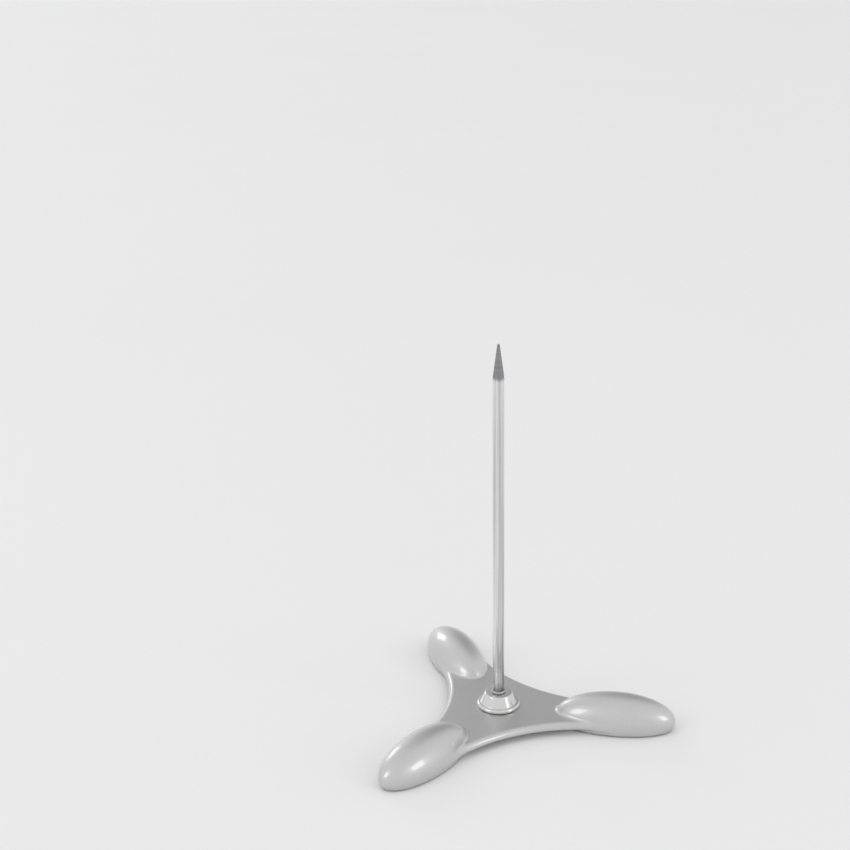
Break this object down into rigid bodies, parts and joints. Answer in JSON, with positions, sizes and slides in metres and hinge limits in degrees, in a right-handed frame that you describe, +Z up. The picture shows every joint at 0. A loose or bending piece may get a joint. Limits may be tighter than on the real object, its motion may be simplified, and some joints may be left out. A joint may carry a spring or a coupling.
{
  "type": "bill spike",
  "caption": "Desk spike for bills and notes: pointed upright spindle on a low three-armed base with egg-shaped weighted pods, held by a conical collar nut.",
  "frame": {"origin": "on the spindle's axis, in the plane of the table that the feet stand on", "axes": "+Z up along the spindle to its point, +X along one arm of the base"},
  "size_m": [0.0959, 0.1088, 0.138],
  "materials": {
    "silver_lacquer": "silver flake lacquer under a clear gloss coat, on a moulding",
    "turned_steel": "turned",
    "spring_steel": "spring temper, lightly oiled",
    "zinc_plated_steel": "zinc plated",
    "ballast_iron": "as cast",
    "foot_rubber": "moulded, grooved tread",
    "drawn_steel": "drawn bright rod with a dark ground point",
    "nickel_plate": "bright nickel plate"
  },
  "bodies": {
    "stand": {"base_shell": "silver_lacquer", "hub_stud": "turned_steel", "lock_washer": "spring_steel", "ring_nut": "zinc_plated_steel", "ballast_right": "ballast_iron", "ballast_back": "ballast_iron", "ballast_front": "ballast_iron", "foot_right": "foot_rubber", "foot_back": "foot_rubber", "foot_front": "foot_rubber"},
    "spindle": {"spindle": "drawn_steel", "snap_ring": "spring_steel"},
    "collar": {"collar_nut": "nickel_plate"}
  },
  "joints": [
    {"name": "spindle_lift", "type": "slide", "parent": "stand", "child": "spindle", "axis": [0, 0, 1], "range_m": [0, 0.00225]},
    {"name": "collar_turn", "type": "hinge", "parent": "spindle", "child": "collar", "pos_m": [0, 0, 0.0074], "axis": [0, 0, 1], "range_deg": [0, 1080]}
  ],
  "couplings": [
    {"joint": "collar_turn", "follows": "spindle_lift", "rad_per_m": 8377.5}
  ]
}
